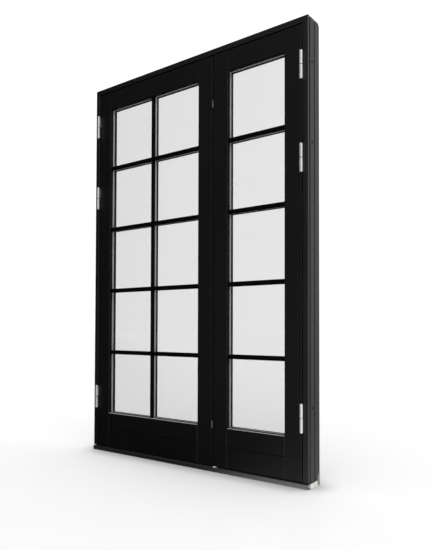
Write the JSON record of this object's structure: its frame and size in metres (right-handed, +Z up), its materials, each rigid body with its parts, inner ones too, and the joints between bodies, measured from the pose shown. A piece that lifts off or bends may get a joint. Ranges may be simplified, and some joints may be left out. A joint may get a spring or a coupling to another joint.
{
  "type": "french doors",
  "caption": "Black painted timber double door in its frame, wide and narrow glazed leaves divided by glazing bars, outward opening on lift-off hinges, lever lock inside, aluminium sill.",
  "frame": {"origin": "middle of the sill's underside, at half the frame's depth", "axes": "+X along the door set to the right seen from outside, +Y from outside to the room, +Z up"},
  "size_m": [1.39, 0.131, 2.09],
  "materials": {
    "black_timber": "black satin paint on timber",
    "pale_sill": "pale moulded composite",
    "grey_sill": "grey moulded composite",
    "nosing_aluminium": "dark grey coated extrusion",
    "clear_glass": "clear float glass",
    "spacer_aluminium": "bare mill aluminium",
    "black_rubber": "extruded seal rubber",
    "grey_plastic": "moulded grey plastic",
    "zinc_steel": "bright zinc-plated steel",
    "satin_steel": "satin stainless steel"
  },
  "bodies": {
    "frame": {"head": "black_timber", "left_jamb": "black_timber", "right_jamb": "black_timber", "sill": "pale_sill", "sill_stop": "grey_sill", "sill_nosing": "nosing_aluminium", "frame_gasket": "black_rubber", "flush_bolt_keeps": "zinc_steel", "left_frame_hinges": "zinc_steel", "right_frame_hinges": "zinc_steel"},
    "left_leaf": {"left_hinge_stile": "black_timber", "left_meeting_stile": "black_timber", "left_top_rail": "black_timber", "left_lower_rail": "black_timber", "left_bottom_rail": "black_timber", "left_outer_glass": "clear_glass", "left_inner_glass": "clear_glass", "left_spacer": "spacer_aluminium", "left_edge_seal": "black_rubber", "left_outer_bars": "black_timber", "left_inner_bars": "black_timber", "left_glazing_beads": "black_timber", "left_setting_blocks": "grey_plastic", "left_meeting_seal": "black_rubber", "left_leaf_hinges": "zinc_steel", "meeting_pads": "grey_plastic", "lock_faceplate": "zinc_steel", "gear_case": "zinc_steel", "handle_rose": "satin_steel"},
    "right_leaf": {"right_hinge_stile": "black_timber", "right_meeting_stile": "black_timber", "right_top_rail": "black_timber", "right_lower_rail": "black_timber", "right_bottom_rail": "black_timber", "right_outer_glass": "clear_glass", "right_inner_glass": "clear_glass", "right_spacer": "spacer_aluminium", "right_edge_seal": "black_rubber", "right_outer_bars": "black_timber", "right_inner_bars": "black_timber", "right_glazing_beads": "black_timber", "right_setting_blocks": "grey_plastic", "right_meeting_seal": "black_rubber", "right_leaf_hinges": "zinc_steel", "bolt_keeps": "zinc_steel", "flush_bolt_plates": "zinc_steel"},
    "handle": {"handle_lever": "satin_steel", "spindle": "zinc_steel", "pinion": "zinc_steel"},
    "drive_rod": {"drive_rod": "zinc_steel"},
    "lower_bolt": {"lower_bolt": "zinc_steel"},
    "upper_bolt": {"upper_bolt": "zinc_steel"},
    "top_flush_bolt": {"top_flush_bolt": "zinc_steel"},
    "bottom_flush_bolt": {"bottom_flush_bolt": "zinc_steel"}
  },
  "joints": [
    {"name": "left_swing", "type": "hinge", "parent": "frame", "child": "left_leaf", "pos_m": [-0.66525, -0.066, 1], "axis": [0, 0, -1], "range_deg": [0, 170]},
    {"name": "right_swing", "type": "hinge", "parent": "frame", "child": "right_leaf", "pos_m": [0.66525, -0.066, 1], "axis": [0, 0, 1], "range_deg": [0, 170]},
    {"name": "handle_turn", "type": "hinge", "parent": "left_leaf", "child": "handle", "pos_m": [0.136, 0, 1.0175], "axis": [0, -1, 0], "range_deg": [0, 90]},
    {"name": "rod_slide", "type": "slide", "parent": "left_leaf", "child": "drive_rod", "axis": [0, 0, 1], "range_m": [0, 0.026]},
    {"name": "lower_bolt_slide", "type": "slide", "parent": "left_leaf", "child": "lower_bolt", "axis": [1, 0, 0], "range_m": [0, 0.01305]},
    {"name": "upper_bolt_slide", "type": "slide", "parent": "left_leaf", "child": "upper_bolt", "axis": [1, 0, 0], "range_m": [0, 0.01305]},
    {"name": "top_flush_bolt_slide", "type": "slide", "parent": "right_leaf", "child": "top_flush_bolt", "axis": [0, 0, 1], "range_m": [0, 0.018]},
    {"name": "bottom_flush_bolt_slide", "type": "slide", "parent": "right_leaf", "child": "bottom_flush_bolt", "axis": [0, 0, -1], "range_m": [0, 0.018]}
  ],
  "couplings": [
    {"joint": "rod_slide", "follows": "handle_turn", "m_per_rad": 0.0165},
    {"joint": "lower_bolt_slide", "follows": "handle_turn", "m_per_rad": 0.0082761},
    {"joint": "upper_bolt_slide", "follows": "handle_turn", "m_per_rad": 0.0082761}
  ]
}
